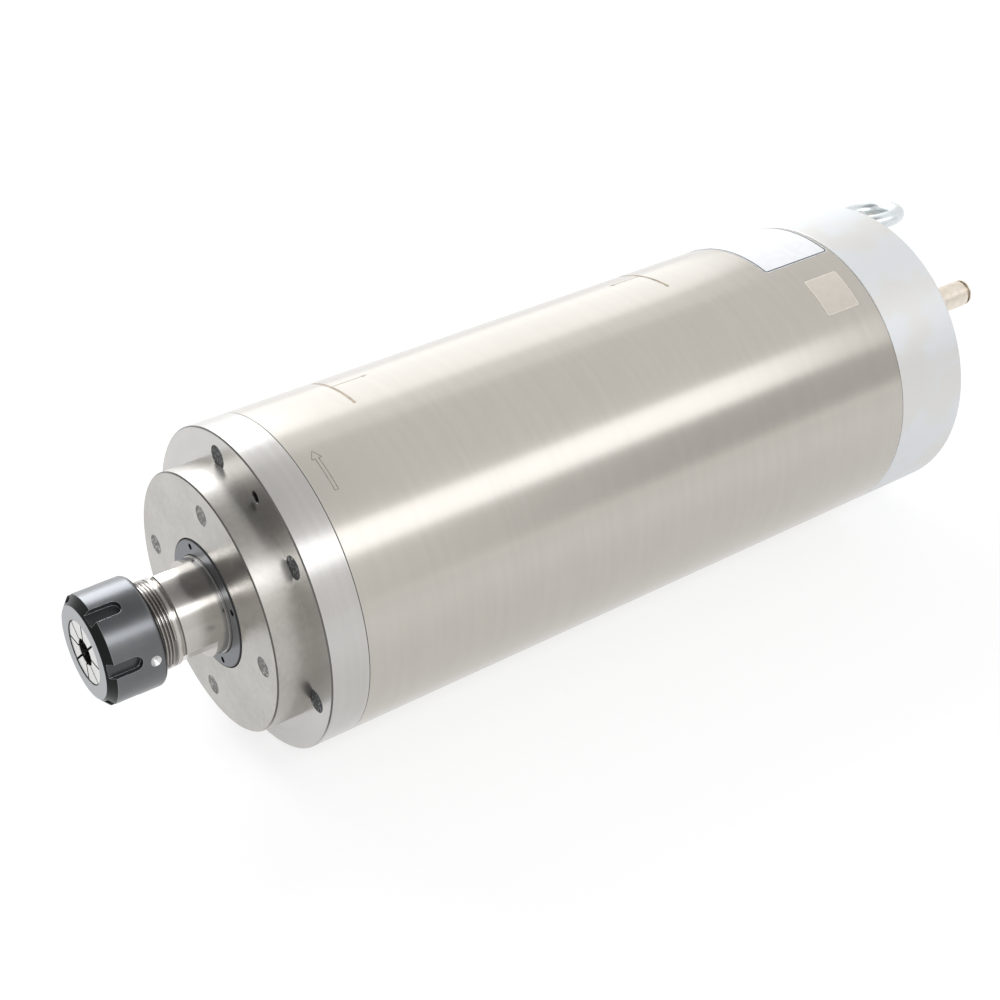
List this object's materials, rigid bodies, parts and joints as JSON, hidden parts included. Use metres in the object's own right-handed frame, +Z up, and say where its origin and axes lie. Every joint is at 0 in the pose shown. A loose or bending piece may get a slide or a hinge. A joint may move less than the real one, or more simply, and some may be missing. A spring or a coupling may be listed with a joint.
{
  "type": "motor spindle",
  "caption": "Water-cooled motor spindle: cylindrical steel body, stepped nose with wrench flats, collet and slotted nut, matte rear cap with eyebolt, hose fittings and power socket.",
  "frame": {"origin": "on the spindle axis, in the locating face of the front flange", "axes": "+Y along the spindle axis from the nose to the rear cap, +Z up as the spindle lies in the picture, its top marks 16 degrees round"},
  "size_m": [0.15, 0.4855, 0.15],
  "materials": {
    "ground_steel": "ground",
    "stainless": "fine turned, satin",
    "cap_aluminium": "matte, finely turned",
    "plain_aluminium": "turned",
    "black_steel": "black oxide, satin",
    "bearing_steel": "ground and polished",
    "cage_resin": "fabric-reinforced resin",
    "core_steel": "laminated",
    "copper": "bare copper",
    "winding": "varnished copper wire",
    "lead_cover": "silicone insulation",
    "black_rubber": "matte",
    "zinc": "bright zinc plate",
    "nickel": "satin nickel plate",
    "fill_resin": "speckled resin",
    "insulator": "moulded",
    "gold": "gold-plated",
    "dark_screw": "blackened",
    "spring_steel": "blued"
  },
  "bodies": {
    "housing": {"front_housing": "ground_steel", "front_cover": "ground_steel", "barrel": "stainless", "water_jacket": "plain_aluminium", "stator_core": "core_steel", "stator_winding": "winding", "lead_wires": "lead_cover", "rear_bracket": "plain_aluminium", "rear_bearing_seat": "ground_steel", "preload_springs": "spring_steel", "bearing_retainer": "ground_steel", "rear_cap": "cap_aluminium", "seal_rings": "black_rubber", "flange_screws": "dark_screw", "flange_fills": "fill_resin", "cover_screws": "dark_screw", "cover_fills": "fill_resin", "cap_screws": "dark_screw", "front_outer_ring_1": "bearing_steel", "front_outer_ring_2": "bearing_steel", "front_outer_spacer": "ground_steel", "rear_outer_ring_1": "bearing_steel", "rear_outer_ring_2": "bearing_steel", "rear_outer_spacer": "ground_steel", "eyebolt": "zinc", "inlet_fitting": "nickel", "outlet_fitting": "nickel", "fitting_seals": "black_rubber", "connector_shell": "nickel", "connector_insert": "insulator", "connector_pins": "gold", "connector_gasket": "black_rubber", "connector_screws": "dark_screw"},
    "rotor": {"shaft": "ground_steel", "dust_ring": "ground_steel", "front_inner_ring_1": "bearing_steel", "front_inner_ring_2": "bearing_steel", "front_inner_spacer": "ground_steel", "rear_inner_ring_1": "bearing_steel", "rear_inner_ring_2": "bearing_steel", "rear_inner_spacer": "ground_steel", "rear_locknut": "dark_screw", "rotor_core": "core_steel", "rotor_cage": "copper", "balance_rings": "ground_steel"},
    "front_rollers": {"front_balls_1": "bearing_steel", "front_balls_2": "bearing_steel", "front_cage_1": "cage_resin", "front_cage_2": "cage_resin"},
    "rear_rollers": {"rear_balls_1": "bearing_steel", "rear_balls_2": "bearing_steel", "rear_cage_1": "cage_resin", "rear_cage_2": "cage_resin"},
    "collet": {"collet": "ground_steel"},
    "nut": {"collet_nut": "black_steel"},
    "inlet_release": {"inlet_collar": "nickel"},
    "outlet_release": {"outlet_collar": "nickel"}
  },
  "joints": [
    {"name": "shaft_spin", "type": "hinge", "parent": "housing", "child": "rotor", "pos_m": [0, 0, 0], "axis": [0, -1, 0], "continuous": true},
    {"name": "front_cage_spin", "type": "hinge", "parent": "housing", "child": "front_rollers", "pos_m": [0, 0.02, 0], "axis": [0, -1, 0], "continuous": true},
    {"name": "rear_cage_spin", "type": "hinge", "parent": "housing", "child": "rear_rollers", "pos_m": [0, 0.316, 0], "axis": [0, -1, 0], "continuous": true},
    {"name": "collet_slide", "type": "slide", "parent": "rotor", "child": "collet", "axis": [0, -1, 0], "range_m": [0, 0.01201]},
    {"name": "nut_turn", "type": "hinge", "parent": "collet", "child": "nut", "pos_m": [0, -0.062, 0], "axis": [0, -1, 0], "range_deg": [0, 2880]},
    {"name": "inlet_release_push", "type": "slide", "parent": "housing", "child": "inlet_release", "axis": [0, -1, 0], "range_m": [0, 0.001], "stiffness_N_per_m": 800},
    {"name": "outlet_release_push", "type": "slide", "parent": "housing", "child": "outlet_release", "axis": [0, -1, 0], "range_m": [0, 0.001], "stiffness_N_per_m": 800}
  ],
  "couplings": [
    {"joint": "front_cage_spin", "follows": "shaft_spin", "ratio": 0.42756},
    {"joint": "rear_cage_spin", "follows": "shaft_spin", "ratio": 0.42068},
    {"joint": "collet_slide", "follows": "nut_turn", "m_per_rad": 0.00023873}
  ]
}
